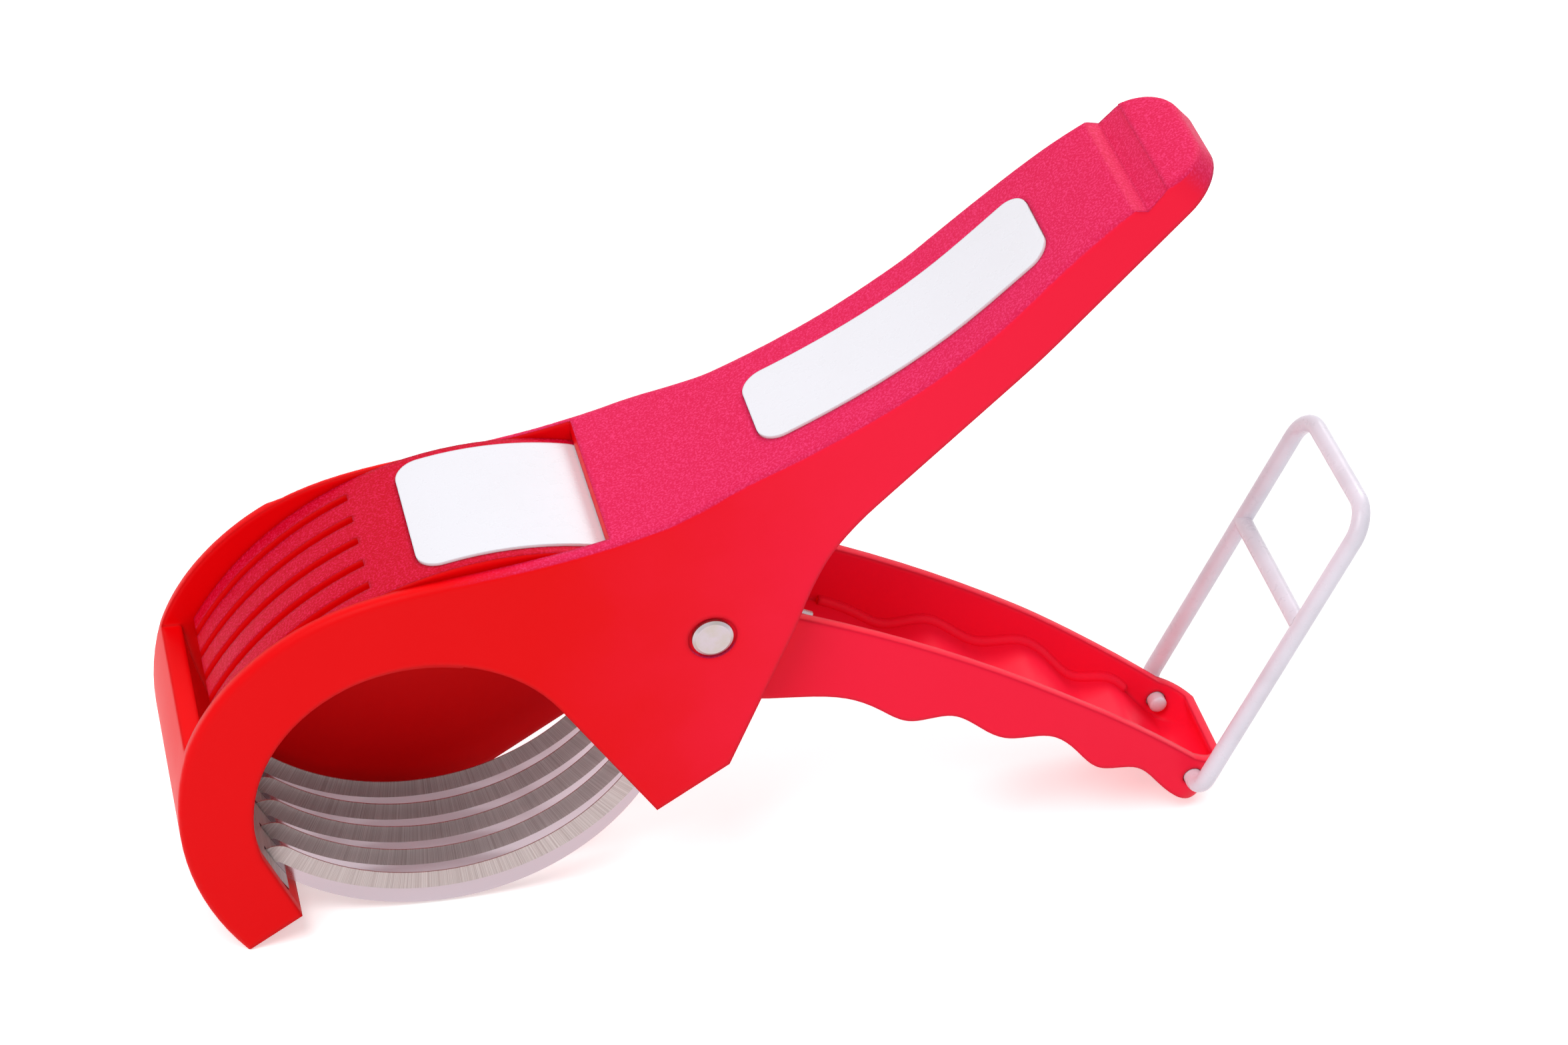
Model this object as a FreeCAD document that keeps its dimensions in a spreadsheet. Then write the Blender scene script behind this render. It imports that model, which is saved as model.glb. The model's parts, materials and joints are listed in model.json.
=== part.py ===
import FreeCAD, Part
import math
import os

# Plier-style slicer. It is drawn about the pivot axis: x runs to the tail, y away from the open side, z up.
# Sizes are millimetres and degrees. Places are measured from the pivot axis.
SIZES = {
    # Widths across the tool
    "inside_width": 41.0,
    "cheek_wall": 2.5,
    "lever_play": 0.7,
    # Head of the frame
    "front_radius": 56.0,
    "front_x": -49.2,
    "front_z": -30.5,
    "kink_z": -15.5,
    "foot_z": -65.5,
    "front_wall_radius": 100.4,
    "base_tilt": 33.7,
    "base_drop": 28.9,
    "far_edge_lift": 0.6,
    "window_radius": 33.4,
    "window_x": -57.3,
    "window_z": -32.9,
    "window_rear_tilt": 54.8,
    "rear_edge_tilt": 69.0,
    "rear_edge_offset": 15.4,
    "rear_bend_radius": 63.0,
    "blade_wall": 4.0,
    "blade_wall_rise": 14.0,
    "base_plate": 3.0,
    "rim_round": 0.9,
    # Upper handle, along its tilted underside line
    "handle_tilt": 44.3,
    "handle_drop": 4.4,
    "handle_length": 133.0,
    "handle_half_width": 20.2,
    "tail_half_width": 15.6,
    "handle_round": 2.2,
    "skin": 3.0,
    "skin_front_x": -21.0,
    "flare_start": 13.0,
    "flare_end": 27.0,
    "flare_bend": 30.0,
    "taper_length": 49.0,
    "taper_bend": 120.0,
    "tail_corner": 10.0,
    "groove_back": 14.3,
    "groove_width": 5.5,
    "groove_above": 2.6,
    # White plates
    "inlay_depth": 1.5,
    "inlay_proud": 0.5,
    "inlay_play": 0.1,
    "inlay_corner": 5.0,
    "handle_inlay_half_width": 11.1,
    "handle_inlay_front_x": 11.5,
    "handle_inlay_rear_x": 66.5,
    "presser_inlay_half_width": 17.5,
    "presser_inlay_front_x": -56.4,
    "presser_inlay_rear_x": -17.0,
    # Blades
    "blade_thick": 1.0,
    "blade_pitch": 7.42,
    "blade_x": -53.6,
    "edge_radius": 47.0,
    "edge_low": -57.7,
    "spine_x": -53.4,
    "spine_radius": 49.3,
    "spine_low": -64.7,
    "bevel_width": 3.4,
    "bevel_depth": 0.75,
    "shoulder_radius": 4.5,
    "shoulder_angle": 231.5,
    "shoulder_turn": 100.0,
    "blade_bite": 3.0,
    "seat_play": 0.06,
    "strip_thick": 0.9,
    "strip_top": 22.0,
    "strip_bottom": 32.4,
    # Lever and presser comb
    "hub_radius": 15.0,
    "comb_x": -36.0,
    "comb_z": -47.0,
    "comb_radius": 69.2,
    "comb_front_radius": 97.7,
    "comb_front_drop": 3.38,
    "comb_under_radius": 34.2,
    "comb_under_drop": 3.5,
    "comb_lip_x": -48.7,
    "slot_width": 2.2,
    "slot_end_x": -65.6,
    "grip_half_width": 16.0,
    "grip_end_half_width": 14.3,
    "grip_wall": 2.3,
    "grip_floor": 2.8,
    "nose_radius": 6.4,
    "nose_ahead": 1.5,
    "nose_above": 0.4,
    "nose_corner": 9.0,
    # Pivot pin and spring
    "pin_diameter": 6.0,
    "pin_fit": 0.05,
    "pin_head_diameter": 8.2,
    "pin_head_proud": 0.5,
    "pin_recess_diameter": 9.9,
    "pin_recess_depth": 0.8,
    "washer_thick": 0.5,
    "spring_wire": 1.5,
    "spring_radius": 4.9,
    "spring_pitch": 2.1,
    "spring_turns": 4,
    "spring_upper_leg": 21.0,
    "spring_lower_leg": 33.0,
    "spring_upper_angle": 60.0,
    "spring_lower_angle": -26.0,
    "spring_space": 17.0,
    # Wire bail
    "wire": 3.8,
    "bail_x": 105.6,
    "bail_z": -56.2,
    "bail_tilt": 66.0,
    "bail_length": 72.2,
    "bail_half_width": 19.15,
    "bail_corner": 6.5,
    "bail_foot_corner": 3.4,
    "bail_tip": 10.4,
    "crossbar_along": 43.6,
    "bail_hole_play": 0.2,
}

doc = FreeCAD.newDocument("slicer")
sheet = doc.addObject("Spreadsheet::Sheet", "sizes")
for row, (alias, value) in enumerate(SIZES.items(), start=1):
    sheet.set(f"A{row}", alias)
    sheet.set(f"B{row}", str(value))
    sheet.setAlias(f"B{row}", alias)
doc.recompute()

# Longer than the whole tool, for lines and cutters that run past it
FAR = 2 * sum(SIZES[name] for name in ("front_wall_radius", "handle_length"))
SIDE = FreeCAD.Placement(FreeCAD.Vector(), FreeCAD.Rotation(FreeCAD.Vector(1, 0, 0), 90))


def mm(alias):
    return float(sheet.get(alias))


# Points and outlines
def at(x, z):
    return FreeCAD.Vector(x, z, 0)


def polar(centre, radius, angle):
    turn = math.radians(angle)
    return centre + at(radius * math.cos(turn), radius * math.sin(turn))


def tilted(angle, along, above):
    return polar(polar(at(0, 0), along, angle), above, angle + 90)


def crossing(point_a, angle_a, point_b, angle_b):
    # Point where two slanted lines meet
    way_a = polar(at(0, 0), 1, angle_a)
    way_b = polar(at(0, 0), 1, angle_b)
    gap = point_b - point_a
    reach = (gap.x * way_b.y - gap.y * way_b.x) / (way_a.x * way_b.y - way_a.y * way_b.x)
    return point_a + way_a * reach


def reach_circle(point, angle, centre, radius):
    # First point on a circle met from inside or outside along a slanted line
    way = polar(at(0, 0), 1, angle)
    offset = point - centre
    half = offset.dot(way)
    root = math.sqrt(half ** 2 - offset.dot(offset) + radius ** 2)
    reaches = [step for step in (-half - root, -half + root) if step > 0]
    return point + way * min(reaches)


def meet_pivot_circle(centre, radius, pivot_radius, side):
    # Point where a circle crosses a circle about the pivot
    gap = centre.Length
    middle = math.degrees(math.atan2(-centre.y, -centre.x))
    spread = math.acos((gap ** 2 + radius ** 2 - pivot_radius ** 2) / (2 * gap * radius))
    return polar(centre, radius, middle + side * math.degrees(spread))


class Outline:
    # Closed outline made edge by edge

    def __init__(self, start):
        self.start = start
        self.here = start
        self.edges = []

    def line(self, *points):
        for point in points:
            self.edges.append(Part.LineSegment(self.here, point))
            self.here = point
        return self

    def arc(self, middle, end):
        self.edges.append(Part.Arc(self.here, middle, end))
        self.here = end
        return self

    def arc_about(self, centre, end, turn):
        # Turn is +1 for anticlockwise and -1 for clockwise
        first = math.atan2(self.here.y - centre.y, self.here.x - centre.x)
        last = math.atan2(end.y - centre.y, end.x - centre.x)
        sweep = ((last - first) * turn) % (2 * math.pi)
        middle = polar(centre, (self.here - centre).Length, math.degrees(first + turn * sweep / 2))
        return self.arc(middle, end)

    def curve(self, points):
        spline = Part.BSplineCurve()
        spline.interpolate([self.here] + points)
        self.edges.append(spline)
        self.here = points[-1]
        return self

    def bend(self, corner, end, radius):
        # Line to a rounded corner, then on to the end point
        back = (self.here - corner).normalize()
        ahead = (end - corner).normalize()
        half = back.getAngle(ahead) / 2
        cut = radius / math.tan(half)
        centre = corner + (back + ahead).normalize() * (radius / math.sin(half))
        middle = centre + (corner - centre).normalize() * radius
        self.line(corner + back * cut)
        self.arc(middle, corner + ahead * cut)
        return self.line(end)

    def close(self):
        if (self.here - self.start).Length > 1e-6:
            self.line(self.start)
        return self.edges


def polygon(points):
    return Outline(points[0]).line(*points[1:]).close()


# Features
def free_sketch(name, edges, placement):
    sketch = doc.addObject("Sketcher::SketchObject", name)
    sketch.Placement = placement
    sketch.addGeometry(edges, False)
    return sketch


def prism(name, edges, width, placement=SIDE):
    block = doc.addObject("Part::Extrusion", name)
    block.Base = free_sketch(name + "_outline", edges, placement)
    block.DirMode = "Normal"
    block.Solid = True
    block.Symmetric = True
    block.setExpression("LengthFwd", width)
    return block


def plan_placement(tilt):
    return FreeCAD.Placement(FreeCAD.Vector(), FreeCAD.Rotation(FreeCAD.Vector(0, 1, 0), -tilt))


def both(name, first, second):
    result = doc.addObject("Part::Common", name)
    result.Base = first
    result.Tool = second
    return result


def joined(name, shapes):
    result = doc.addObject("Part::MultiFuse", name)
    result.Shapes = shapes
    return result


def without(name, base, tools):
    result = doc.addObject("Part::Cut", name)
    result.Base = base
    result.Tool = joined(name + "_tools", tools)
    return result


def cross_cylinder(name, radius, width, x, z):
    # Round bar along y, centred on the middle plane
    bar = doc.addObject("Part::Cylinder", name)
    bar.setExpression("Radius", radius)
    bar.setExpression("Height", width)
    doc.recompute()
    half = float(bar.Height) / 2
    bar.Placement = FreeCAD.Placement(FreeCAD.Vector(x, half, z), FreeCAD.Rotation(FreeCAD.Vector(1, 0, 0), 90))
    return bar


def rounded(name, base, test, radius_at):
    # Round every edge that passes the test, with a radius read at each of its ends
    doc.recompute()
    result = doc.addObject("Part::Fillet", name)
    result.Base = base
    edges = []
    for number, edge in enumerate(base.Shape.Edges, start=1):
        if test(edge):
            ends = [radius_at(vertex.Point) for vertex in (edge.firstVertex(), edge.lastVertex())]
            edges.append((number, *ends))
    result.Edges = edges
    return result


def new_body(label):
    body = doc.addObject("PartDesign::Body", label)
    body.Label = label
    return body


def body_sketch(body, plane, edges, lift=0.0):
    sketch = body.newObject("Sketcher::SketchObject", "outline")
    origin_plane = [item for item in body.Origin.OriginFeatures if item.Role == plane][0]
    sketch.AttachmentSupport = [(origin_plane, "")]
    sketch.MapMode = "FlatFace"
    sketch.AttachmentOffset = FreeCAD.Placement(FreeCAD.Vector(0, 0, lift), FreeCAD.Rotation())
    sketch.addGeometry(edges, False)
    return sketch


def pad(body, sketch, length, side="One side", reverse=False):
    feature = body.newObject("PartDesign::Pad", "pad")
    feature.Profile = sketch
    feature.SideType = side
    feature.Reversed = reverse
    feature.setExpression("Length", length)
    return feature


def pocket_through(body, sketch):
    feature = body.newObject("PartDesign::Pocket", "pocket")
    feature.Profile = sketch
    feature.Type = "ThroughAll"
    feature.SideType = "Symmetric"
    return feature


def round_edges(body, radius, test):
    doc.recompute()
    base = body.Tip
    names = [f"Edge{number}" for number, edge in enumerate(base.Shape.Edges, start=1) if test(edge)]
    feature = body.newObject("PartDesign::Fillet", "fillet")
    feature.Base = (base, names)
    feature.setExpression("Radius", radius)
    return feature


def circle(x, z, radius):
    return [Part.Circle(at(x, z), FreeCAD.Vector(0, 0, 1), radius)]


# Shared places on the head
PIVOT = at(0, 0)
outer_half = mm("inside_width") / 2 + mm("cheek_wall")
front_centre = at(mm("front_x"), mm("front_z"))
window_centre = at(mm("window_x"), mm("window_z"))
handle_tilt = mm("handle_tilt")
base_tilt = mm("base_tilt")
rear_tilt = mm("rear_edge_tilt")
window_tilt = -mm("window_rear_tilt")


def on_front(z):
    reach = math.sqrt(mm("front_radius") ** 2 - (z - mm("front_z")) ** 2)
    return at(mm("front_x") - reach, z)


def handle_point(along, above):
    return tilted(handle_tilt, along, above)


kink = on_front(mm("kink_z"))
hook_heel = on_front(mm("foot_z"))
hook_toe = reach_circle(hook_heel, base_tilt, PIVOT, mm("front_wall_radius"))
base_point = polar(PIVOT, mm("base_drop"), base_tilt - 90)
rear_point = polar(PIVOT, mm("rear_edge_offset"), rear_tilt - 90)
rear_heel = crossing(base_point, base_tilt, rear_point, rear_tilt)
window_tangent = polar(window_centre, mm("window_radius"), window_tilt + 90)
blade_wall_low = crossing(window_tangent, window_tilt, base_point, base_tilt)
far_low = at(mm("blade_x"), mm("foot_z") + mm("far_edge_lift"))
far_turn = crossing(base_point, base_tilt, at(mm("blade_x") + 13, 0), 90)
handle_bend = crossing(rear_point, rear_tilt, handle_point(0, -mm("handle_drop")), handle_tilt)
handle_length = mm("handle_length")
tail_low = handle_point(handle_length + 3, -mm("handle_drop"))
groove_along = handle_length - mm("groove_back")

# Stations of the rim and handle top, from the kink to the tail
TOP_STATIONS = [
    kink,
    at(-93.5, 0.6),
    at(-77, 12.7),
    at(-48, 19.4),
    at(-21, 24.3),
    handle_point(handle_length * 0.233, 18.6),
    handle_point(handle_length * 0.391, 11.9),
    handle_point(handle_length * 0.571, 7.6),
    handle_point(handle_length - 30, 6.7),
    handle_point(handle_length - 16, 5.2),
    handle_point(handle_length - 5, 2.4),
    handle_point(handle_length + 3, -1.4),
]
top_line = Part.BSplineCurve()
top_line.interpolate(TOP_STATIONS)


def top_offset(lift, first_x, last_x, count=7):
    # Stations on a line parallel to the top, between two x places
    points = []
    for step in range(count):
        x = first_x + (last_x - first_x) * step / (count - 1)
        cut = Part.LineSegment(at(x, -FAR), at(x, FAR)).toShape()
        vertex = top_line.toShape().section(cut).Vertexes[0].Point
        slope = top_line.tangent(top_line.parameter(vertex))[0]
        points.append(vertex + at(-slope.y, slope.x) * lift)
    return points


# Main frame: outer block
outer_side = Outline(kink)
outer_side.curve(TOP_STATIONS[1:])
outer_side.line(tail_low)
outer_side.bend(handle_bend, rear_heel, mm("rear_bend_radius"))
outer_side.line(far_turn)
outer_side.arc(far_low, hook_toe)
outer_side.line(hook_heel)
outer_side.arc_about(front_centre, kink, -1)
outer_width = "sizes.inside_width + 2 * sizes.cheek_wall"
side_block = prism("frame_side", outer_side.close(), outer_width)


def handle_plan(inset, end_inset):
    # Outline across the handle, seen square to its underside line
    end = handle_length - end_inset
    head = outer_half - inset
    grip = mm("handle_half_width") - inset
    tail = mm("tail_half_width") - inset
    flare = (mm("flare_start") + mm("flare_end")) / 2
    taper = handle_length - mm("taper_length")
    halfway = (mm("flare_end") + taper) / 2
    path = Outline(at(-FAR, -head))
    path.bend(at(mm("flare_start"), -head), at(flare, -(head + grip) / 2), mm("flare_bend"))
    path.bend(at(mm("flare_end"), -grip), at(halfway, -grip), mm("flare_bend"))
    path.bend(at(taper, -grip), at((taper + end) / 2, -(grip + tail) / 2), mm("taper_bend"))
    path.bend(at(end, -tail), at(end, 0), mm("tail_corner"))
    path.bend(at(end, tail), at((taper + end) / 2, (grip + tail) / 2), mm("tail_corner"))
    path.bend(at(taper, grip), at(halfway, grip), mm("taper_bend"))
    path.bend(at(mm("flare_end"), grip), at(flare, (head + grip) / 2), mm("flare_bend"))
    path.bend(at(mm("flare_start"), head), at(-FAR, head), mm("flare_bend"))
    return path.close()


across = plan_placement(handle_tilt)
plan_block = prism("frame_plan", handle_plan(0, 0), "400", across)
outer_block = both("frame_outer", side_block, plan_block)


def on_top(edge):
    # True for the two long edges between the top and the outer sides
    middle = edge.valueAt((edge.FirstParameter + edge.LastParameter) / 2)
    spot = at(middle.x, middle.z)
    near = top_line.value(top_line.parameter(spot))
    return (near - spot).Length < 0.02 and abs(middle.y) > 5 and edge.Length > 1


rim = mm("rim_round")
soft = mm("handle_round")


def tilt_along(point):
    turn = math.radians(handle_tilt)
    return point.x * math.cos(turn) + point.z * math.sin(turn)


def round_at(point):
    # Rim radius on the head, growing to the softer handle radius
    share = min(max((tilt_along(point) - mm("flare_start")) / (mm("flare_end") - mm("flare_start")), 0), 1)
    return rim + (soft - rim) * share


outer_round = rounded("frame_rounded", outer_block, on_top, round_at)

# Main frame: space between the cheeks and under the handle skin
skin_rear = handle_point(handle_length - 10, 0)
skin_line = top_offset(-mm("skin"), mm("skin_front_x"), skin_rear.x, 9)
wall_low = blade_wall_low
wall_way = polar(PIVOT, 1, window_tilt + 180)
wall_in = polar(PIVOT, 1, window_tilt + 90)
plate_in = polar(PIVOT, 1, base_tilt + 90)
wall_high = wall_low + wall_way * mm("blade_wall_rise")
plate_point = base_point + plate_in * mm("base_plate")
wall_corner = crossing(wall_low + wall_in * mm("blade_wall"), window_tilt, plate_point, base_tilt)
plate_end = crossing(plate_point, base_tilt, rear_point, rear_tilt)
front_wall_top = at(-math.sqrt(mm("front_wall_radius") ** 2 - kink.y ** 2), kink.y)

inner_side = Outline(hook_toe)
inner_side.arc_about(PIVOT, front_wall_top, -1)
inner_side.line(at(-120, kink.y), at(-120, 90), at(mm("skin_front_x"), 90), skin_line[0])
inner_side.curve(skin_line[1:])
inner_side.line(handle_point(handle_length - 4, -12), handle_point(40, -30), plate_end + at(20, 0))
inner_side.line(plate_end, wall_corner, wall_high + wall_in * mm("blade_wall"), wall_high)
inner_side.line(wall_low, wall_low - wall_way * 20, at(-60, -100), hook_toe + at(2, -20))
inner_block = both(
    "frame_space",
    prism("space_side", inner_side.close(), "sizes.inside_width"),
    prism("space_plan", handle_plan(mm("cheek_wall"), mm("skin")), "400", across),
)

# Main frame: window in the near cheek, groove, pin seats and inlay seat
window = Outline(wall_low - wall_way * 20)
window.line(window_tangent)
window.arc_about(window_centre, polar(window_centre, mm("window_radius"), 197), 1)
window.line(hook_toe, hook_toe + at(6, -20))
near_window = prism("near_window", window.close(), "sizes.cheek_wall + 2")
near_window.Placement.Base.y = -outer_half + mm("cheek_wall") / 2 - 1

groove_end = groove_along + mm("groove_width")
groove = Outline(handle_point(groove_along, mm("groove_above")))
groove.line(handle_point(groove_end, mm("groove_above") + 0.5))
groove.line(handle_point(groove_end, 20), handle_point(groove_along - 13, 20))
tail_groove = prism("tail_groove", groove.close(), "60")

pin_hole = cross_cylinder("pin_hole", "sizes.pin_diameter / 2 + 0.03", "60", 0, 0)
recess_near = cross_cylinder("recess_near", "sizes.pin_recess_diameter / 2", "2 * sizes.pin_recess_depth", 0, 0)
recess_near.Placement.Base.y = mm("pin_recess_depth") - outer_half
recess_far = cross_cylinder("recess_far", "sizes.pin_recess_diameter / 2", "2 * sizes.pin_recess_depth", 0, 0)
recess_far.Placement.Base.y = mm("pin_recess_depth") + outer_half


def band(lower, upper):
    # Outline between two lists of stations
    outline = Outline(lower[0]).curve(lower[1:]).line(upper[-1])
    return outline.curve(list(reversed(upper))[1:]).close()


play = mm("inlay_play")
depth = mm("inlay_depth")
proud = mm("inlay_proud")
handle_seat = band(
    top_offset(-depth - 0.05, mm("handle_inlay_front_x") - play, mm("handle_inlay_rear_x") + play),
    top_offset(3, mm("handle_inlay_front_x") - play, mm("handle_inlay_rear_x") + play),
)
seat_block = prism("handle_seat", handle_seat, "2 * (sizes.handle_inlay_half_width + sizes.inlay_play)")


def upright(edge):
    # True for a straight edge that is not along y
    if edge.Curve.TypeId != "Part::GeomLine":
        return False
    return abs(edge.tangentAt(edge.FirstParameter).y) < 0.1


def seat_corner(point):
    return mm("inlay_corner") + play


handle_seat_round = rounded("handle_seat_round", seat_block, upright, seat_corner)

# Blades: outlines about one cutting edge circle and one spine circle
edge_centre = at(mm("blade_x"), mm("edge_low") + mm("edge_radius"))
spine_centre = at(mm("spine_x"), mm("spine_low") + mm("spine_radius"))
shoulder_hub = polar(edge_centre, mm("edge_radius") + mm("shoulder_radius"), mm("shoulder_angle"))
blade_end_radius = mm("front_wall_radius") + mm("blade_bite")
blade_rear = wall_low + wall_in * (mm("blade_wall") - 1)
spine_front = meet_pivot_circle(spine_centre, mm("spine_radius"), mm("front_wall_radius"), -1)
spine_rear = reach_circle(blade_rear + wall_way * 30, window_tilt, spine_centre, mm("spine_radius"))


def outward(point, radius):
    # Point straight out from the pivot through another point
    return point * (radius / point.Length)


def blade_outline(ground):
    # Ground is how far the cutting edge is worn down on this face
    turn = mm("shoulder_angle")
    tip = polar(shoulder_hub, mm("shoulder_radius") - ground, turn - 180 + mm("shoulder_turn"))
    edge_rear = reach_circle(blade_rear + wall_way * 30, window_tilt, edge_centre, mm("edge_radius") + ground)
    path = Outline(edge_rear)
    path.arc_about(edge_centre, polar(edge_centre, mm("edge_radius") + ground, turn), -1)
    path.arc_about(shoulder_hub, tip, 1)
    path.line(outward(tip, blade_end_radius), outward(spine_front, blade_end_radius), spine_front)
    path.arc_about(spine_centre, spine_rear, 1)
    return path.close()


def make_blade(number, y):
    body = new_body(f"blade_{number}")
    near = y - mm("blade_thick") / 2
    ground_face = body_sketch(body, "XZ_Plane", blade_outline(mm("bevel_width")), -near)
    full_face = body_sketch(body, "XZ_Plane", blade_outline(0), -near - mm("bevel_depth"))
    grind = body.newObject("PartDesign::AdditiveLoft", "grind")
    grind.Profile = ground_face
    grind.Sections = [full_face]
    grind.Ruled = True
    pad(body, full_face, "sizes.blade_thick - sizes.bevel_depth", reverse=True)
    return body


BLADE_PLACES = [mm("blade_pitch") * step for step in (2, 1, 0, -1, -2)]
blades = [make_blade(number, y) for number, y in enumerate(BLADE_PLACES, start=1)]


def slits(name, edges, width):
    # One narrow cutter at each blade place
    cutters = []
    for number, y in enumerate(BLADE_PLACES, start=1):
        cutter = prism(f"{name}_{number}", edges, width)
        cutter.Placement = FreeCAD.Placement(FreeCAD.Vector(0, y, 0), FreeCAD.Rotation())
        cutters.append(cutter)
    return cutters


# Main frame: all cuts
blade_seats = slits("blade_seat", blade_outline(0), "sizes.blade_thick + 2 * sizes.seat_play")
main_frame = without("main_frame", outer_round, [
    inner_block, near_window, tail_groove, pin_hole, recess_near, recess_far, handle_seat_round,
] + blade_seats)


# White plates
def make_inlay(label, outline, half_width):
    body = new_body(label)
    pad(body, body_sketch(body, "XZ_Plane", outline), f"2 * sizes.{half_width}", "Symmetric")
    round_edges(body, "sizes.inlay_corner", upright)
    return body


handle_inlay = make_inlay("handle_inlay", band(
    top_offset(-depth, mm("handle_inlay_front_x"), mm("handle_inlay_rear_x")),
    top_offset(proud, mm("handle_inlay_front_x"), mm("handle_inlay_rear_x")),
), "handle_inlay_half_width")

comb_centre = at(mm("comb_x"), mm("comb_z"))


def comb_top(x, lift=0.0):
    # Point over a place on the comb's top arc
    reach = mm("comb_radius")
    point = at(x, mm("comb_z") + math.sqrt(reach ** 2 - (x - mm("comb_x")) ** 2))
    return comb_centre + (point - comb_centre) * ((reach + lift) / reach)


def comb_band(lower, upper, margin):
    first = mm("presser_inlay_front_x") - margin
    last = mm("presser_inlay_rear_x") + margin
    path = Outline(comb_top(first, lower))
    path.arc_about(comb_centre, comb_top(last, lower), -1)
    path.line(comb_top(last, upper))
    path.arc_about(comb_centre, comb_top(first, upper), 1)
    return path.close()


presser_inlay = make_inlay("presser_inlay", comb_band(-depth, proud, 0), "presser_inlay_half_width")

# Steel strip on the front wall, slit from below for the blades
strip_outer = mm("front_wall_radius") - 0.05
strip_inner = strip_outer - mm("strip_thick")
strip_top = 180 + mm("strip_top")
strip_bottom = 180 + mm("strip_bottom")
strip_path = Outline(polar(PIVOT, strip_outer, strip_top))
strip_path.arc_about(PIVOT, polar(PIVOT, strip_outer, strip_bottom), 1)
strip_path.line(polar(PIVOT, strip_inner, strip_bottom))
strip_path.arc_about(PIVOT, polar(PIVOT, strip_inner, strip_top), -1)
blade_strip = new_body("blade_strip")
strip_sketch = body_sketch(blade_strip, "XZ_Plane", strip_path.close())
pad(blade_strip, strip_sketch, "sizes.inside_width - 1", "Symmetric")
slit_half = mm("blade_thick") / 2 + mm("seat_play")
slit_top = shoulder_hub.y + mm("shoulder_radius") + 0.3
slit_edges = []
for place in BLADE_PLACES:
    slit_edges += polygon([
        at(place - slit_half, -80),
        at(place + slit_half, -80),
        at(place + slit_half, slit_top),
        at(place - slit_half, slit_top),
    ])
pocket_through(blade_strip, body_sketch(blade_strip, "YZ_Plane", slit_edges))

# Lever: comb and arm
comb_front = meet_pivot_circle(comb_centre, mm("comb_radius"), mm("comb_front_radius"), 1)
front_angle = math.degrees(math.atan2(comb_front.y, comb_front.x)) % 360
comb_front_low = polar(PIVOT, mm("comb_front_radius"), front_angle + mm("comb_front_drop"))
under_centre = at(mm("window_x"), mm("window_z") - mm("comb_under_drop"))
under_reach = mm("comb_lip_x") - mm("window_x")
comb_lip = under_centre + at(under_reach, math.sqrt(mm("comb_under_radius") ** 2 - under_reach ** 2))
comb_path = Outline(comb_front)
comb_path.arc_about(comb_centre, comb_top(-12), -1)
comb_path.line(polar(PIVOT, mm("hub_radius"), 60), polar(PIVOT, mm("hub_radius"), 215))
comb_path.line(at(mm("comb_lip_x") + 2.2, 2.5), comb_lip)
comb_path.arc_about(under_centre, polar(under_centre, mm("comb_under_radius"), 140), 1)
comb_path.line(comb_front_low)
comb_path.arc_about(PIVOT, comb_front, -1)
comb_width = "sizes.inside_width - 2 * sizes.lever_play"
comb_block = prism("comb", comb_path.close(), comb_width)
hub_block = cross_cylinder("hub", "sizes.hub_radius", comb_width, 0, 0)

# Lever: hollow grip with a waved underside, drawn along the line from the pivot to the bail foot
bail_foot = at(mm("bail_x"), mm("bail_z"))
grip_tilt = math.degrees(math.atan2(bail_foot.y, bail_foot.x))
bail_reach = bail_foot.Length
nose = mm("nose_radius")
nose_centre = tilted(grip_tilt, bail_reach + mm("nose_ahead"), mm("nose_above"))
WAVES = [
    (113.0, -3.9),
    (106.0, -2.1),
    (99.0, -4.6),
    (91.0, -2.4),
    (83.0, -1.0),
    (75.0, -4.5),
    (69.0, -4.4),
    (60.5, -3.7),
    (53.0, -7.9),
    (45.5, -7.6),
    (38.5, -7.4),
    (21.0, -13.6),
    (4.0, -14.6),
]


def waves(lift):
    return [tilted(grip_tilt, along, above + lift) for along, above in WAVES]


def grip_plan(inset):
    # Outline across the lower handle, seen square to its long line
    end = bail_reach + mm("nose_ahead") + nose - inset
    wide = mm("grip_half_width") - inset
    slim = mm("grip_end_half_width") - inset
    corner = mm("nose_corner") - inset
    path = Outline(at(-5, -wide)).bend(at(82, -wide), at(100, -(wide + slim) / 2), 120)
    path.bend(at(end, -slim), at(end, 0), corner)
    path.bend(at(end, slim), at(100, (wide + slim) / 2), corner)
    path.bend(at(82, wide), at(-5, wide), 120)
    return path.close()


grip_side = Outline(at(6, 1.5))
grip_side.arc(at(60, -21.6), at(106, -51.8))
grip_side.line(polar(nose_centre, nose, 12))
grip_side.arc_about(nose_centre, polar(nose_centre, nose, -104), -1)
grip_side.curve(waves(0))
along_grip = plan_placement(grip_tilt)
grip_block = both(
    "grip",
    prism("grip_side", grip_side.close(), "2 * sizes.grip_half_width + 2"),
    prism("grip_plan", grip_plan(0), "200", along_grip),
)

nose_in = nose - mm("grip_wall")
hollow_side = Outline(at(16, 40))
hollow_side.line(at(130, 40), polar(nose_centre, nose_in, 20))
hollow_side.arc_about(nose_centre, polar(nose_centre, nose_in, -118), -1)
hollow_side.curve(waves(mm("grip_floor"))[:-1])
hollow_side.line(at(16, hollow_side.here.y + 1))
grip_hollow = both(
    "grip_hollow",
    prism("hollow_side", hollow_side.close(), "2 * sizes.grip_half_width"),
    prism("hollow_plan", grip_plan(mm("grip_wall")), "200", along_grip),
)

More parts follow.
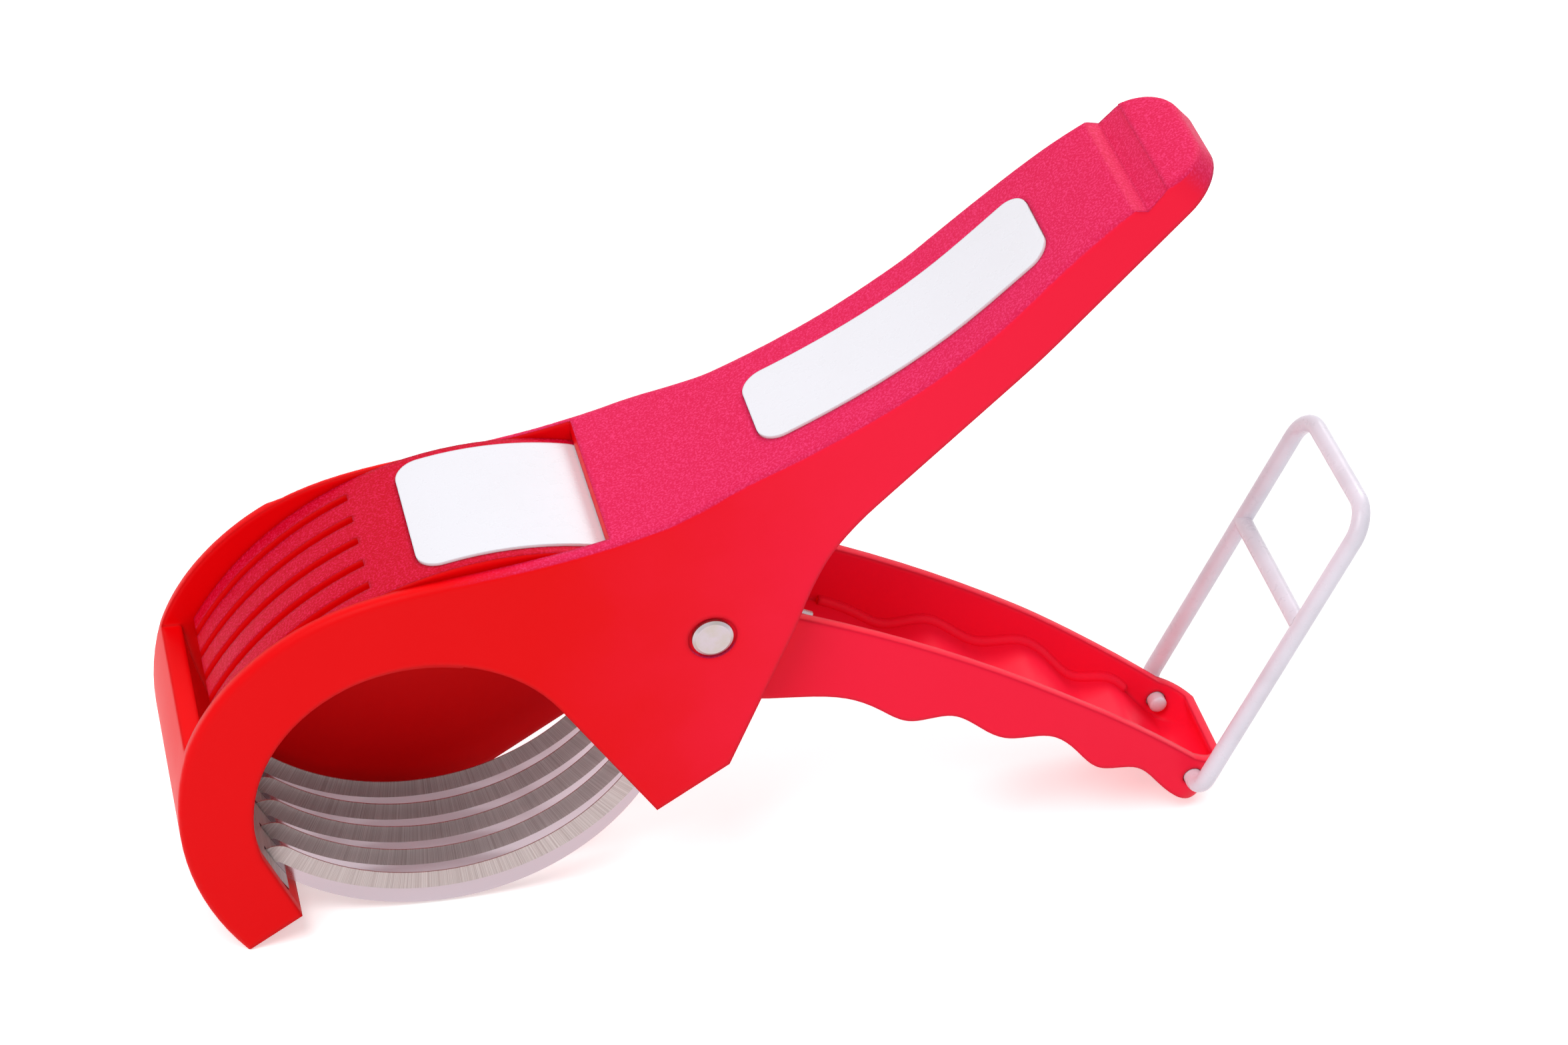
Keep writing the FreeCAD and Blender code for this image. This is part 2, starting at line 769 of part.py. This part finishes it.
# Lever: slots, spring space, bores and inlay seat
slot_path = polygon([
    comb_top(mm("slot_end_x"), 4),
    at(mm("slot_end_x") + 8.6, -8),
    at(-90, -60),
    at(-130, -20),
    at(-120, 40),
])
slots = slits("slot", slot_path, "sizes.slot_width")
spring_gap = prism("spring_gap", polygon([
    polar(PIVOT, 9.5, 140),
    polar(PIVOT, 9.5, 230),
    polar(PIVOT, 22.5, -58),
    polar(PIVOT, 27, -41),
    polar(PIVOT, 26, 40),
    polar(PIVOT, 20, 88),
]), "sizes.spring_space")
lever_bore = cross_cylinder("lever_bore", "sizes.pin_diameter / 2 + sizes.pin_fit", "60", 0, 0)
foot_hole = cross_cylinder("foot_hole", "sizes.wire / 2 + sizes.bail_hole_play", "60", bail_foot.x, bail_foot.y)
presser_seat = prism(
    "presser_seat",
    comb_band(-depth - 0.05, 4, play),
    "2 * (sizes.presser_inlay_half_width + sizes.inlay_play)",
)
presser_seat_round = rounded("presser_seat_round", presser_seat, upright, seat_corner)
lever_solid = joined("lever_solid", [comb_block, hub_block, grip_block])
squeeze_lever = without("squeeze_lever", lever_solid, [
    grip_hollow, spring_gap, lever_bore, foot_hole, presser_seat_round,
] + slots)

# Pivot pin, turned about y, and the washer under its closed end
pin_radius = mm("pin_diameter") / 2
head_radius = mm("pin_head_diameter") / 2
head_low = -outer_half - mm("pin_head_proud")
seat_far = outer_half - mm("pin_recess_depth")
pin_path = Outline(at(0, head_low))
pin_path.line(at(head_radius - 0.6, head_low), at(head_radius, head_low + 0.4))
pin_path.line(at(head_radius, -seat_far), at(pin_radius, -seat_far))
pin_path.line(at(pin_radius, seat_far + mm("washer_thick")), at(pin_radius + 1, seat_far + mm("washer_thick")))
pin_path.line(at(pin_radius + 1, -head_low - 0.4), at(pin_radius + 0.3, -head_low), at(0, -head_low))
pivot_pin = new_body("pivot_pin")
pin_turn = pivot_pin.newObject("PartDesign::Revolution", "turn")
pin_turn.Profile = body_sketch(pivot_pin, "XY_Plane", pin_path.close())
pin_turn.ReferenceAxis = (pin_turn.Profile[0], ["V_Axis"])
pin_turn.Angle = 360

pin_washer = new_body("pin_washer")
washer_edges = circle(0, 0, mm("pin_recess_diameter") / 2 - 0.2) + circle(0, 0, pin_radius + 0.04)
washer_face = body_sketch(pin_washer, "XZ_Plane", washer_edges, -seat_far)
pad(pin_washer, washer_face, "sizes.washer_thick", reverse=True)

# Return spring: one unbroken wire of two legs and quarter turns, each arc tangent to the last
def coil_point(turn):
    side = polar(PIVOT, mm("spring_radius"), 90 + mm("spring_upper_angle") + turn)
    return FreeCAD.Vector(side.x, mm("spring_pitch") * (turn - spring_sweep / 2) / 360, side.y)


def tangent_arc(start, way, end):
    # Arc that leaves the start along the given way, and its way at the end
    chord = end - start
    along = FreeCAD.Vector(chord).normalize()
    bow = (way - along * way.dot(along)).normalize()
    middle = start + chord / 2 + bow * (chord.Length / 2 * math.tan(way.getAngle(chord) / 2))
    return Part.Arc(start, middle, end).toShape(), along * (2 * way.dot(along)) - way


spring_sweep = 360 * mm("spring_turns") + 180 + mm("spring_lower_angle") - mm("spring_upper_angle")
quarters = round(spring_sweep / 90)
coil_points = [coil_point(spring_sweep * step / quarters) for step in range(quarters + 1)]
way = (coil_point(1) - coil_point(-1)).normalize()
leg_end = coil_points[0] - way * mm("spring_upper_leg")
spring_edges = [Part.LineSegment(leg_end, coil_points[0]).toShape()]
# The wire is eight-sided, which keeps its many turns light
wire_turn = FreeCAD.Placement(leg_end, FreeCAD.Rotation(FreeCAD.Vector(0, 0, 1), way))
corners = [wire_turn.multVec(polar(PIVOT, mm("spring_wire") / 2, 45 * step)) for step in range(9)]
for start, end in zip(coil_points, coil_points[1:]):
    edge, way = tangent_arc(start, way, end)
    spring_edges.append(edge)
lower_end = coil_points[-1] + way * mm("spring_lower_leg")
spring_edges.append(Part.LineSegment(coil_points[-1], lower_end).toShape())
spring_line = Part.Wire(spring_edges)
return_spring = doc.addObject("Part::Feature", "return_spring")
return_spring.Shape = spring_line.makePipeShell([Part.makePolygon(corners)], True, False)

samples = [coil_point(spring_sweep * step / 100) for step in range(101)]
half_turn = math.ceil(100 * 180 / spring_sweep)
turn_gap = min(
    (first - second).Length
    for number, first in enumerate(samples)
    for second in samples[number + half_turn:]
) - mm("spring_wire")
print("least gap between spring turns", round(turn_gap, 2))
wire_volume = spring_line.Length * Part.Face(Part.makePolygon(corners)).Area
print("spring volume over section times length", round(return_spring.Shape.Volume / wire_volume, 3))

# Wire bail, drawn flat: x along its legs from the foot, y across
wire_radius = mm("wire") / 2
bail_half = mm("bail_half_width")
bail_path = Outline(at(0, -mm("bail_tip")))
bail_path.bend(at(0, -bail_half), at(20, -bail_half), mm("bail_foot_corner"))
bail_path.bend(at(mm("bail_length"), -bail_half), at(mm("bail_length"), 0), mm("bail_corner"))
bail_path.bend(at(mm("bail_length"), bail_half), at(20, bail_half), mm("bail_corner"))
bail_path.bend(at(0, bail_half), at(0, mm("bail_tip")), mm("bail_foot_corner"))
lock_bail = new_body("lock_bail")
bail_line = body_sketch(lock_bail, "XY_Plane", bail_path.edges)
bail_pipe = lock_bail.newObject("PartDesign::AdditivePipe", "wire")
bail_pipe.Profile = body_sketch(lock_bail, "XZ_Plane", circle(0, 0, wire_radius), mm("bail_tip"))
bail_pipe.Spine = (bail_line, [f"Edge{number}" for number in range(1, len(bail_path.edges) + 1)])

bail_crossbar = new_body("bail_crossbar")
bar_end = body_sketch(bail_crossbar, "XZ_Plane", circle(mm("crossbar_along"), 0, wire_radius))
pad(bail_crossbar, bar_end, "2 * sizes.bail_half_width", "Symmetric")
legs = circle(bail_half, 0, wire_radius + 0.03) + circle(-bail_half, 0, wire_radius + 0.03)
pocket_through(bail_crossbar, body_sketch(bail_crossbar, "YZ_Plane", legs))

# Every sub-part, with its own turn about the pivot frame
bail_place = FreeCAD.Placement(
    FreeCAD.Vector(bail_foot.x, 0, bail_foot.y),
    FreeCAD.Rotation(FreeCAD.Vector(0, 1, 0), -mm("bail_tilt")),
)
parts = [main_frame, handle_inlay, blade_strip, *blades, pivot_pin, pin_washer]
parts += [squeeze_lever, presser_inlay, return_spring, lock_bail, bail_crossbar]
places = {"lock_bail": bail_place, "bail_crossbar": bail_place}
for part in parts:
    part.Placement = places.get(part.Label, FreeCAD.Placement())
doc.recompute()

for item in doc.Objects:
    if "Invalid" in item.State or "Error" in item.State:
        raise RuntimeError(f"{item.Name} did not build: {item.State}")
for part in parts:
    if part.Shape.isNull() or not part.Shape.isValid() or len(part.Shape.Solids) != 1:
        raise RuntimeError(f"{part.Label} is not one sound solid")

# The origin is moved to the bottom centre of the whole tool, then each solid is written
boxes = [part.Shape.optimalBoundingBox(False, False) for part in parts]
low = [min(getattr(box, name) for box in boxes) for name in ("XMin", "YMin", "ZMin")]
high = [max(getattr(box, name) for box in boxes) for name in ("XMax", "YMax", "ZMax")]
shift = FreeCAD.Vector(-(low[0] + high[0]) / 2, -(low[1] + high[1]) / 2, -low[2])
for part in parts:
    place = part.Placement
    place.move(shift)
    part.Placement = place
doc.recompute()
os.makedirs("parts", exist_ok=True)
for part in parts:
    part.Shape.exportStep(f"parts/{part.Label}.step")
print("pivot axis at", [round(value, 3) for value in shift])
print("overall", [round(top - bottom, 2) for bottom, top in zip(low, high)])
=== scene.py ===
import json
import math

import bmesh
import bpy
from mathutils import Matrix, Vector


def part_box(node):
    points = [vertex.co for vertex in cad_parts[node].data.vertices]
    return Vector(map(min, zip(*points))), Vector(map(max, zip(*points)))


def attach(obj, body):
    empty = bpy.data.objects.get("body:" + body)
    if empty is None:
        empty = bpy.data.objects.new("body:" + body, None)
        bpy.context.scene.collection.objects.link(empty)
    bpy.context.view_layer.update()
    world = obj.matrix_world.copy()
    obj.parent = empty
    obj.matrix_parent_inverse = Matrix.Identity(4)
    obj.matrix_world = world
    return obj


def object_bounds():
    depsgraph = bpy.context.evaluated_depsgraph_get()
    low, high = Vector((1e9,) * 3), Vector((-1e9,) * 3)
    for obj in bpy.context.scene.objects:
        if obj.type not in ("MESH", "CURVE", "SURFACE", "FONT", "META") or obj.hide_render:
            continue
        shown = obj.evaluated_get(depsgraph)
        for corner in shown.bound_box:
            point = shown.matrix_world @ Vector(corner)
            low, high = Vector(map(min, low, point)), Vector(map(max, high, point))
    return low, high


# Camera of the photograph, in metres and degrees of the row frame
CAMERA_PLACE = (-0.1701, -0.6857, 0.5730)
CAMERA_TURN = (54.81, -1.96, -12.81)
FOCAL_MM = 100.0
SENSOR_MM = 36.0

# Base colours, linear light
RED_HEAD = (0.84, 0.0, 0.002)
# Painted light: the handle red is paler and pinker than the head red for the light that falls from the
# right
RED_HANDLE_PAINTED_LIGHT = (0.95, 0.010, 0.045)
# Painted light: faces that look up get a darker, pinker red for how the light falls on them
FRAME_TOP_PAINTED_LIGHT = (0.70, 0.012, 0.080)
COMB_TOP_PAINTED_LIGHT = (0.56, 0.0, 0.016)
# Painted highlights: pink glints on the grain of faces that look up
FRAME_GLINT_PAINTED = (0.94, 0.06, 0.22)
COMB_GLINT_PAINTED = (0.82, 0.02, 0.10)
WHITE = (0.79, 0.78, 0.83)
WHITE_WARM = (0.78, 0.77, 0.815)
COATING = (0.75, 0.71, 0.80)
COATING_WORN = (0.68, 0.64, 0.72)
STEEL = (0.50, 0.44, 0.48)
STEEL_DARK = (0.46, 0.41, 0.38)
GROUND_PALE = (0.60, 0.55, 0.54)
GROUND_DARK = (0.38, 0.32, 0.31)
PAPER = (0.93, 0.93, 0.93)
PAPER_FLECK = (0.8, 0.8, 0.8)
LIGHT_WHITE = (1.0, 1.0, 1.0)

# Levels between which a noise is spread to its full contrast
NOISE_MID = (0.3, 0.7)
NOISE_UPPER = (0.35, 0.7)
NOISE_GLINTS = (0.42, 0.72)

# Painted light: the red is deeper at the head and painted paler and pinker at the handles for the light
# that falls from the right, between these places along x
PAINTED_LIGHT_SPAN = (-0.055, 0.025)
PAINTED_LIGHT_WANDER = 0.006

# Moulded grain, with the painted top colour and painted glints: how far up a face looks where they begin
# and where they are full
GRAIN_FACING = (0.25, 0.6)
# Share of the painted pink glints on faces that look up
GLINT_SHARE = 0.6

# Places where the grain, the painted top colour and the painted glints are full and where they have gone,
# ahead of the pin along x
FRAME_GRAIN_FULL = 0.025
FRAME_GRAIN_GONE = 0.055
COMB_GRAIN_FULL = 0.010

# Radii of edges that are rounded in the shading
RED_EDGE = 0.0016
WHITE_EDGE = 0.0005
EDGE_SAMPLES = 6

# Sideways facing of the blades, from fully ground to flat
GROUND_FACING = (0.984, 0.996)

# Centre of the cutting edge, from the middle and the bottom of the third blade's box
EDGE_SHIFT = 0.004
EDGE_RISE = 0.050

# Grinding marks on the blades, around the cutting edge and from blade to blade
MARKS_PER_RADIAN = 640
MARKS_PER_METRE = 40
MARKS_LAYER = 0.5

# Turned rings on the pin, along its radius
RINGS_PER_METRE = 9000

# Ridge along the waved floor of the lower handle
BEAD_RADIUS = 0.0012
BEAD_STEP = 0.0010
BEAD_STAND_OFF = BEAD_RADIUS * 0.3
BEAD_ROUNDNESS = 3
BEAD_AFTER_PIN = 0.030
BEAD_BEFORE_LOOP = 0.006

# Rays that find the floor and the wall of the lower handle
PROBE_TOP = 0.2
FLOOR_PROBE_Y = 0.009
FLOOR_FACING = 0.3
WALL_PROBE_RISE = 0.0012
WALL_LIMIT_Y = 0.0145

# Domes on the ends of the loop's wire
TIP_INSET = 0.0104
WIRE_RADIUS = 0.0019
TIP_RISE = 0.0009
DOME_SEGMENTS = 28
DOME_RINGS = 14

# Studio: name, place, size and power of each lamp, then floor and world
LAMPS = [
    ("key_light", (-0.5, -0.5, 1.1), 0.7, 8.0),
    ("rim_light", (0.6, 0.7, 0.9), 0.6, 5.5),
]
FLOOR_SIZE = 6.0
FLOOR_GLOW = 0.45
WORLD_FILL = 0.55

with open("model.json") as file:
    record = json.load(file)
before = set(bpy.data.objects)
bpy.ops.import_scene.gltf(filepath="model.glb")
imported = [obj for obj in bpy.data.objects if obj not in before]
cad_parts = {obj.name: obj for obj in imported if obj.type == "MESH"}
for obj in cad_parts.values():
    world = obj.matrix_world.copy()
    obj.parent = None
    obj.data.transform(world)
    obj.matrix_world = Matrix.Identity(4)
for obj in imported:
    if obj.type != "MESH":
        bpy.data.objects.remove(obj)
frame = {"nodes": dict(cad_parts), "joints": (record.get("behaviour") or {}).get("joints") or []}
cad_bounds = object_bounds()
nodes = frame["nodes"]
blades = [name for name in nodes if name.startswith("blade_") and name != "blade_strip"]


# Node helpers
class Material:
    # A procedural material built around one principled shader

    def __init__(self, name):
        self.material = bpy.data.materials.new(name)
        self.material.use_nodes = True
        self.tree = self.material.node_tree
        self.shader = self.tree.nodes["Principled BSDF"]
        self.coords = self.node("ShaderNodeTexCoord")

    def node(self, kind, **settings):
        made = self.tree.nodes.new(kind)
        for key, value in settings.items():
            setattr(made, key, value)
        return made

    def link(self, source, target):
        self.tree.links.new(source, target)

    def feed(self, value, socket):
        # A colour or a number is written into the socket, and a node's output is linked to it
        if isinstance(value, tuple):
            socket.default_value = (*value, 1.0)
        elif isinstance(value, (int, float)):
            socket.default_value = value
        else:
            self.link(value, socket)

    def noise(self, scale, detail, vector=None, roughness=0.5):
        made = self.node("ShaderNodeTexNoise")
        made.inputs["Scale"].default_value = scale
        made.inputs["Detail"].default_value = detail
        made.inputs["Roughness"].default_value = roughness
        self.link(vector or self.coords.outputs["Object"], made.inputs["Vector"])
        return made.outputs["Fac"]

    def ramp(self, value, low, high, low_out=0.0, high_out=1.0, curve="SMOOTHSTEP"):
        made = self.node("ShaderNodeMapRange", interpolation_type=curve)
        made.inputs["From Min"].default_value = low
        made.inputs["From Max"].default_value = high
        made.inputs["To Min"].default_value = low_out
        made.inputs["To Max"].default_value = high_out
        self.link(value, made.inputs["Value"])
        return made.outputs["Result"]

    def spread(self, share, low_out, high_out):
        # Straight line from one value to another as a share goes from 0 to 1
        return self.ramp(share, 0.0, 1.0, low_out, high_out, curve="LINEAR")

    def math(self, operation, *values):
        made = self.node("ShaderNodeMath", operation=operation)
        for slot, value in enumerate(values):
            self.feed(value, made.inputs[slot])
        return made.outputs[0]

    def mix(self, share, first, second):
        made = self.node("ShaderNodeMix", data_type="RGBA")
        self.link(share, made.inputs["Factor"])
        colours = [socket for socket in made.inputs if socket.type == "RGBA"]
        for socket, value in zip(colours, (first, second)):
            self.feed(value, socket)
        return [socket for socket in made.outputs if socket.type == "RGBA"][0]

    def bump(self, height, strength, distance, below=None):
        made = self.node("ShaderNodeBump")
        made.inputs["Strength"].default_value = strength
        made.inputs["Distance"].default_value = distance
        self.link(height, made.inputs["Height"])
        if below is not None:
            self.link(below, made.inputs["Normal"])
        return made.outputs["Normal"]

    def soft_edges(self, radius):
        # Normal that rounds off sharp moulded edges
        made = self.node("ShaderNodeBevel", samples=EDGE_SAMPLES)
        made.inputs["Radius"].default_value = radius
        return made.outputs["Normal"]

    def split(self, name):
        # The x, y and z of one kind of coordinate
        made = self.node("ShaderNodeSeparateXYZ")
        self.link(self.coords.outputs[name], made.inputs[0])
        return made.outputs

    def vector(self, *values):
        made = self.node("ShaderNodeCombineXYZ")
        for slot, value in enumerate(values):
            self.feed(value, made.inputs[slot])
        return made.outputs[0]

    def offset(self, place, centre_x, centre_z):
        # Distances from an axis that runs along y
        return self.math("SUBTRACT", place[0], centre_x), self.math("SUBTRACT", place[2], centre_z)

    def set(self, **values):
        for name, value in values.items():
            self.feed(value, self.shader.inputs[name.replace("_", " ")])
        return self.material


# Materials
def red_plastic(name, painted_top, glint_red, full_at, gone_at):
    # Spark-grained on faces that look up, smoother on the sides; the grain fades out along x. Painted
    # light: faces that look up also take their own red and pink glints, and the sides grow paler towards
    # the handles
    look = Material(name)
    place_x = look.split("Object")[0]
    upward = look.ramp(look.split("Normal")[2], *GRAIN_FACING)
    upward = look.math("MULTIPLY", upward, look.ramp(place_x, gone_at, full_at))
    cloud = look.ramp(look.noise(scale=45, detail=4), *NOISE_MID)
    grain = look.noise(scale=2600, detail=2, roughness=0.7)
    painted_glint = look.ramp(look.noise(scale=2400, detail=2), *NOISE_GLINTS)
    # Painted light: the sides run from the deep head red to the paler, pinker handle red along x, for the
    # light from the right
    along = look.math("ADD", place_x, look.spread(cloud, -PAINTED_LIGHT_WANDER, PAINTED_LIGHT_WANDER))
    side = look.mix(look.ramp(along, *PAINTED_LIGHT_SPAN), RED_HEAD, RED_HANDLE_PAINTED_LIGHT)
    # Painted light: faces that look up take the painted top red
    base = look.mix(upward, side, painted_top)
    # Painted highlights: pink glints on faces that look up, mixed into the base colour below
    glint_mask = look.math("MULTIPLY", painted_glint, look.math("MULTIPLY", upward, GLINT_SHARE))
    rough = look.math("ADD", look.spread(upward, 0.42, 0.5), look.spread(cloud, -0.03, 0.03))
    waves = look.noise(scale=220, detail=3)
    soft = look.bump(waves, strength=0.10, distance=0.0004, below=look.soft_edges(RED_EDGE))
    height = look.math("MULTIPLY", grain, look.spread(upward, 0.15, 1.0))
    return look.set(
        Base_Color=look.mix(glint_mask, base, glint_red),
        Roughness=rough,
        Specular_IOR_Level=0.1,
        Normal=look.bump(height, strength=0.22, distance=0.00025, below=soft),
    )


def white_plastic():
    # Smooth half-gloss plates
    look = Material("white_plastic_look")
    cloud = look.ramp(look.noise(scale=60, detail=4), *NOISE_UPPER)
    waves = look.noise(scale=900, detail=2)
    return look.set(
        Base_Color=look.mix(cloud, WHITE, WHITE_WARM),
        Roughness=look.ramp(look.noise(scale=400, detail=3), *NOISE_MID, 0.26, 0.32),
        Normal=look.bump(waves, strength=0.01, distance=0.0001, below=look.soft_edges(WHITE_EDGE)),
    )


def white_coating():
    # Dipped coating, slightly uneven
    look = Material("white_coating_look")
    cloud = look.ramp(look.noise(scale=90, detail=3), *NOISE_UPPER)
    return look.set(
        Base_Color=look.mix(cloud, COATING, COATING_WORN),
        Roughness=look.ramp(look.noise(scale=500, detail=3), *NOISE_MID, 0.25, 0.40),
        Normal=look.bump(look.noise(scale=650, detail=2), strength=0.06, distance=0.0003),
    )


def blade_steel(centre_x, centre_z):
    # Ground marks run square to the cutting edge, so they follow the angle about its centre
    look = Material("blade_steel_look")
    place = look.split("Object")
    off_x, off_z = look.offset(place, centre_x, centre_z)
    angle = look.math("ARCTAN2", off_z, off_x)
    facing = look.math("ABSOLUTE", look.split("Normal")[1])
    ground = look.ramp(facing, *GROUND_FACING, 1.0, 0.0)
    around = look.math("MULTIPLY", angle, MARKS_PER_RADIAN)
    across = look.math("MULTIPLY", place[1], MARKS_PER_METRE)
    marks = look.noise(scale=1.0, detail=4, vector=look.vector(around, across, MARKS_LAYER))
    streak = look.math("MULTIPLY", look.ramp(marks, *NOISE_MID), ground)
    cloud = look.ramp(look.noise(scale=70, detail=4), *NOISE_MID)
    height = look.math("MULTIPLY", marks, ground)
    return look.set(
        Base_Color=look.mix(ground, STEEL, look.mix(streak, GROUND_PALE, GROUND_DARK)),
        Metallic=look.spread(ground, 1.0, 0.7),
        Roughness=look.math("ADD", look.spread(ground, 0.14, 0.40), look.ramp(cloud, 0.0, 1.0, 0.0, 0.06)),
        Normal=look.bump(height, strength=0.25, distance=0.0002),
    )


def turned_steel(centre_x, centre_z):
    # Fine rings about the pin axis
    look = Material("turned_steel_look")
    off_x, off_z = look.offset(look.split("Object"), centre_x, centre_z)
    squares = look.math("ADD", look.math("POWER", off_x, 2), look.math("POWER", off_z, 2))
    reach = look.math("MULTIPLY", look.math("SQRT", squares), RINGS_PER_METRE)
    rings = look.noise(scale=1.0, detail=3, vector=look.vector(reach, 0, 0))
    cloud = look.ramp(look.noise(scale=300, detail=3), *NOISE_MID)
    return look.set(
        Base_Color=look.mix(cloud, STEEL, STEEL_DARK),
        Metallic=1.0,
        Roughness=look.ramp(rings, *NOISE_MID, 0.26, 0.42),
        Normal=look.bump(rings, strength=0.15, distance=0.0001),
    )


def dress(names, material):
    for name in names:
        mesh = nodes[name].data
        mesh.materials.clear()
        mesh.materials.append(material)


# Materials on the CAD nodes
blade_low, blade_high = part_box("blade_3")
edge_x = (blade_low.x + blade_high.x) / 2 - EDGE_SHIFT
edge_z = blade_low.z + EDGE_RISE
pin_low, pin_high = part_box("pivot_pin")
pin_x = (pin_low.x + pin_high.x) / 2
pin_z = (pin_low.z + pin_high.z) / 2
frame_look = red_plastic(
    "frame_red_look", FRAME_TOP_PAINTED_LIGHT, FRAME_GLINT_PAINTED, pin_x - FRAME_GRAIN_FULL, pin_x - FRAME_GRAIN_GONE,
)
lever_look = red_plastic("lever_red_look", COMB_TOP_PAINTED_LIGHT, COMB_GLINT_PAINTED, pin_x - COMB_GRAIN_FULL, pin_x)
coating_look = white_coating()
dress(["main_frame"], frame_look)
dress(["squeeze_lever"], lever_look)
dress(["handle_inlay", "presser_inlay"], white_plastic())
dress(["lock_bail", "bail_crossbar"], coating_look)
dress(blades + ["blade_strip"], blade_steel(edge_x, edge_z))
dress(["pivot_pin", "pin_washer", "return_spring"], turned_steel(pin_x, pin_z))


# Small details that ride on the CAD bodies
def add_object(name, data):
    made = bpy.data.objects.new(name, data)
    bpy.context.scene.collection.objects.link(made)
    return made


def floor_corner(lever, x, side):
    # Corner between the waved floor and one wall of the lower handle, or nothing outside the hollow
    above = Vector((x, side * FLOOR_PROBE_Y, PROBE_TOP))
    hit, floor, normal, _ = lever.ray_cast(above, Vector((0, 0, -1)))
    if not hit or normal.z < FLOOR_FACING:
        return None
    hit, wall, _, _ = lever.ray_cast(floor + Vector((0, 0, WALL_PROBE_RISE)), Vector((0, side, 0)))
    if not hit or abs(wall.y) > WALL_LIMIT_Y:
        return None
    return Vector((x, wall.y - side * BEAD_STAND_OFF, floor.z + BEAD_STAND_OFF))


def floor_bead(name, side, first_x, last_x):
    # Rounded ridge that follows the waves inside the lower handle
    lever = nodes["squeeze_lever"]
    count = int((last_x - first_x) / BEAD_STEP)
    corners = [floor_corner(lever, first_x + BEAD_STEP * step, side) for step in range(count)]
    points = [corner for corner in corners if corner is not None]
    curve = bpy.data.curves.new(name, "CURVE")
    curve.dimensions = "3D"
    curve.bevel_depth = BEAD_RADIUS
    curve.bevel_resolution = BEAD_ROUNDNESS
    curve.use_fill_caps = True
    spline = curve.splines.new("POLY")
    spline.points.add(len(points) - 1)
    for point, corner in zip(spline.points, points):
        point.co = (*corner, 1.0)
    spline.use_smooth = True
    curve.materials.append(lever_look)
    bead = add_object(name, curve)
    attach(bead, "lever")


def wire_dome(name, side, foot):
    # Rounded end of the wire, set on its flat cut face
    shape = bmesh.new()
    bmesh.ops.create_uvsphere(shape, u_segments=DOME_SEGMENTS, v_segments=DOME_RINGS, radius=WIRE_RADIUS)
    for vertex in shape.verts:
        x, y, z = vertex.co
        vertex.co = (x, z * TIP_RISE / WIRE_RADIUS, y)
    bmesh.ops.recalc_face_normals(shape, faces=shape.faces)
    mesh = bpy.data.meshes.new(name)
    shape.to_mesh(mesh)
    shape.free()
    mesh.polygons.foreach_set("use_smooth", [True] * len(mesh.polygons))
    mesh.materials.append(coating_look)
    dome = add_object(name, mesh)
    dome.location = (foot[0], side * TIP_INSET, foot[2])
    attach(dome, "bail")


swing = [joint for joint in frame["joints"] if joint["name"] == "bail_swing"][0]
loop_foot = swing["pos_m"]
for side, word in ((1, "far"), (-1, "near")):
    floor_bead(f"{word}_floor_bead", side, pin_x + BEAD_AFTER_PIN, loop_foot[0] - BEAD_BEFORE_LOOP)
    wire_dome(f"{word}_wire_dome", side, loop_foot)


# Studio
def seen_directly(tree):
    # One for rays from the camera, from gloss and through glass
    path = tree.nodes.new("ShaderNodeLightPath")
    total = path.outputs["Is Camera Ray"]
    for name in ("Is Glossy Ray", "Is Transmission Ray"):
        larger = tree.nodes.new("ShaderNodeMath")
        larger.operation = "MAXIMUM"
        tree.links.new(total, larger.inputs[0])
        tree.links.new(path.outputs[name], larger.inputs[1])
        total = larger.outputs[0]
    return total


def paper_material():
    # Pale paper whose lit parts reach white to the camera, and which keeps the shadow
    look = Material("paper_look")
    fleck = look.ramp(look.noise(scale=900, detail=4), *NOISE_MID, 0.0, 0.03)
    return look.set(
        Base_Color=look.mix(fleck, PAPER, PAPER_FLECK),
        Roughness=0.9,
        Emission_Color=LIGHT_WHITE,
        Emission_Strength=look.math("MULTIPLY", seen_directly(look.tree), FLOOR_GLOW),
    )


def make_floor():
    bpy.ops.mesh.primitive_plane_add(size=FLOOR_SIZE, location=(0, 0, 0))
    floor = bpy.context.object
    floor.name = "paper_floor"
    floor.data.materials.append(paper_material())


def make_world():
    # White to the camera, and a softer fill on the object
    world = bpy.data.worlds.new("studio")
    bpy.context.scene.world = world
    world.use_nodes = True
    tree = world.node_tree
    back = tree.nodes["Background"]
    back.inputs["Color"].default_value = (*LIGHT_WHITE, 1.0)
    level = tree.nodes.new("ShaderNodeMapRange")
    tree.links.new(seen_directly(tree), level.inputs["Value"])
    level.inputs["To Min"].default_value = WORLD_FILL
    level.inputs["To Max"].default_value = 1.0
    tree.links.new(level.outputs["Result"], back.inputs["Strength"])


def area_light(name, place, size, power, target):
    lamp = bpy.data.lights.new(name, "AREA")
    lamp.shape = "DISK"
    lamp.size = size
    lamp.energy = power
    holder = add_object(name, lamp)
    holder.location = place
    holder.rotation_euler = (Vector(place) - target).to_track_quat("Z", "Y").to_euler()


def make_camera():
    lens = bpy.data.cameras.new("photo_camera")
    lens.lens = FOCAL_MM
    lens.sensor_width = SENSOR_MM
    lens.sensor_fit = "HORIZONTAL"
    holder = add_object("photo_camera", lens)
    holder.location = CAMERA_PLACE
    holder.rotation_euler = [math.radians(angle) for angle in CAMERA_TURN]
    bpy.context.scene.camera = holder


middle = (cad_bounds[0] + cad_bounds[1]) / 2
make_floor()
make_world()
for name, place, size, power in LAMPS:
    area_light(name, place, size, power, middle)
make_camera()
bpy.context.scene.view_settings.view_transform = "Standard"
